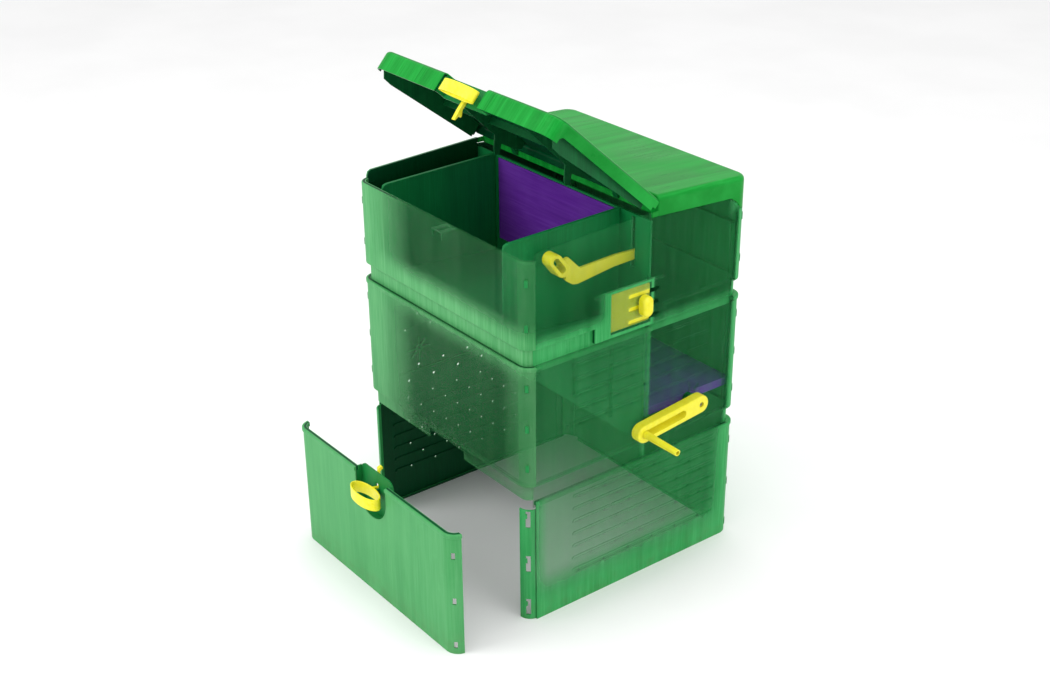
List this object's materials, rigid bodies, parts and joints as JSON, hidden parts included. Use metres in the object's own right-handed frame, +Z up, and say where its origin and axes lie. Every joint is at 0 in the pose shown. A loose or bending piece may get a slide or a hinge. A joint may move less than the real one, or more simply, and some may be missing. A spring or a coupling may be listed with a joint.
{
  "type": "three-chamber garden composter",
  "caption": "Tall square plastic composter with hinged front lid, sloped rear roof, transfer flap and lever, sliding air vent, crank-turned discharge tray and lift-off removal flap.",
  "frame": {"origin": "on the ground, under the middle of the square body", "axes": "+Z up, -Y towards the front with the removal flap, +X towards the crank side"},
  "size_m": [0.918, 1.0307, 1.3873],
  "materials": {
    "green_plastic": "fine streaked grain, satin",
    "dark_green_plastic": "satin",
    "yellow_plastic": "satin",
    "purple_plastic": "satin",
    "steel": "brushed"
  },
  "bodies": {
    "body": {"lower_wall_left": "green_plastic", "lower_wall_right": "green_plastic", "lower_wall_rear": "green_plastic", "mid_wall_left": "green_plastic", "mid_wall_right": "green_plastic", "mid_wall_front": "green_plastic", "mid_wall_rear": "green_plastic", "upper_wall_left": "green_plastic", "upper_wall_right": "green_plastic", "upper_wall_front": "green_plastic", "upper_wall_rear": "green_plastic", "corner_clips_front": "dark_green_plastic", "corner_clips_rear": "dark_green_plastic", "rear_roof": "green_plastic", "chamber_floor": "dark_green_plastic", "hopper_left": "dark_green_plastic", "hopper_right": "dark_green_plastic", "upper_divider": "dark_green_plastic", "lower_divider": "dark_green_plastic", "flap_hinge_pins": "steel", "vent_guides": "dark_green_plastic", "axle_bushes": "green_plastic", "lid_hinge_pins": "steel", "lid_hinge_brackets": "dark_green_plastic", "lid_keeper": "dark_green_plastic"},
    "lid": {"front_lid": "green_plastic", "lid_recess": "dark_green_plastic", "lid_inner_frame": "dark_green_plastic", "lid_latch_pin": "steel"},
    "lid_latch": {"lid_grip": "yellow_plastic", "lid_hook": "yellow_plastic"},
    "removal_door": {"removal_flap": "green_plastic", "flap_recess": "dark_green_plastic", "flap_latch_pin": "steel"},
    "door_latch": {"flap_handle": "yellow_plastic", "flap_hook": "yellow_plastic"},
    "swing_flap": {"transfer_flap": "purple_plastic", "lever_pin": "steel"},
    "lever": {"transfer_lever": "yellow_plastic"},
    "vent_slider": {"vent_plate": "yellow_plastic", "vent_knob": "yellow_plastic"},
    "tray": {"discharge_tray": "purple_plastic", "tray_axle": "purple_plastic", "crank_arm": "yellow_plastic", "crank_screw": "steel", "handle_pin": "steel"},
    "folding_grip": {"crank_handle": "yellow_plastic"}
  },
  "joints": [
    {"name": "lid_hinge", "type": "hinge", "parent": "body", "child": "lid", "pos_m": [0, 0.036, 1.104], "axis": [-1, 0, 0], "range_deg": [-43.8, 51.2]},
    {"name": "lid_latch_pivot", "type": "hinge", "parent": "lid", "child": "lid_latch", "pos_m": [0, -0.24935, 1.35646], "axis": [-1, 0, 0], "range_deg": [0, 12], "stiffness_Nm_per_rad": 1, "springref_deg": -8.59},
    {"name": "flap_slide", "type": "slide", "parent": "body", "child": "removal_door", "axis": [0, 1, 0], "range_m": [-0.15, 0.2377]},
    {"name": "flap_latch_pivot", "type": "hinge", "parent": "removal_door", "child": "door_latch", "pos_m": [0, -0.5947, 0.322], "axis": [-1, 0, 0], "range_deg": [0, 12], "stiffness_Nm_per_rad": 2, "springref_deg": -8.59},
    {"name": "transfer_flap_hinge", "type": "hinge", "parent": "body", "child": "swing_flap", "pos_m": [0, 0.043, 1.034], "axis": [1, 0, 0], "range_deg": [0, 50]},
    {"name": "transfer_lever_pivot", "type": "hinge", "parent": "swing_flap", "child": "lever", "pos_m": [0.304, 0.0395, 0.94], "axis": [1, 0, 0], "range_deg": [-50, 0]},
    {"name": "vent_slide", "type": "slide", "parent": "body", "child": "vent_slider", "axis": [0, 1, 0], "range_m": [-0.04, 0.045]},
    {"name": "crank_turn", "type": "hinge", "parent": "body", "child": "tray", "pos_m": [0, 0.196, 0.491], "axis": [1, 0, 0], "range_deg": [0, 75]},
    {"name": "handle_fold", "type": "hinge", "parent": "tray", "child": "folding_grip", "pos_m": [0.403, -0.00577, 0.46872], "axis": [0, -0.1097, 0.994], "range_deg": [0, 90]}
  ],
  "couplings": [
    {"joint": "transfer_lever_pivot", "follows": "transfer_flap_hinge", "ratio": -1}
  ]
}
